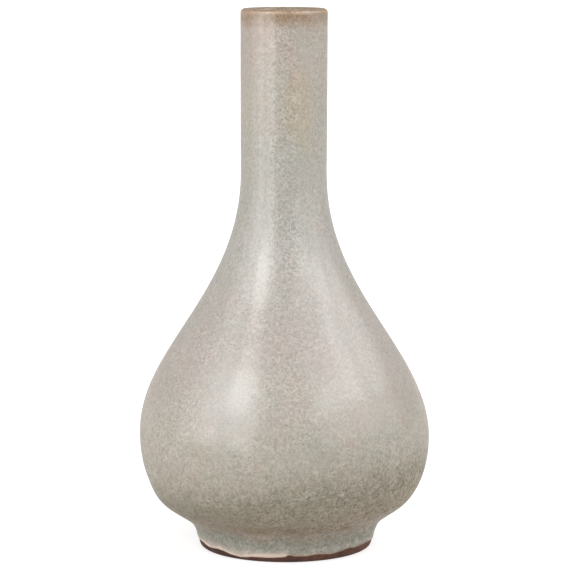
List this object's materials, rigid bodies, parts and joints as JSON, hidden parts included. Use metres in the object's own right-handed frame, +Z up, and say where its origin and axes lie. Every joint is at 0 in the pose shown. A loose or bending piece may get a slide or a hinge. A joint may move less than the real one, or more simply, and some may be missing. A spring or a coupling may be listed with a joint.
{
  "type": "bottle vase",
  "caption": "Celadon bottle vase with a pear-shaped belly, long straight neck, thin rounded lip and low unglazed foot ring.",
  "frame": {"origin": "on the vase's axis in the plane that it stands on", "axes": "+Z up along the axis of the vase, from the foot to the mouth; X and Y are alike, as every piece is turned round Z"},
  "size_m": [0.108, 0.108, 0.2],
  "materials": {
    "celadon_glaze": "satin crackled celadon glaze, grey-beige over buff clay",
    "lip_glaze": "the same glaze run thin over the lip, tan",
    "inner_glaze": "satin celadon glaze",
    "stoneware": "matt fired buff stoneware",
    "slip": "matt fired slip of the same clay",
    "iron_wash": "matt iron-brown wash"
  },
  "bodies": {
    "root": {"foot_ring": "stoneware", "foot_joint_slip": "slip", "belly": "stoneware", "body_joint_slip": "slip", "shoulder": "stoneware", "neck_joint_slip": "slip", "neck": "stoneware", "iron_wash": "iron_wash", "outer_glaze": "celadon_glaze", "lip_glaze": "lip_glaze", "inner_glaze": "inner_glaze", "base_glaze": "inner_glaze"}
  },
  "joints": []
}
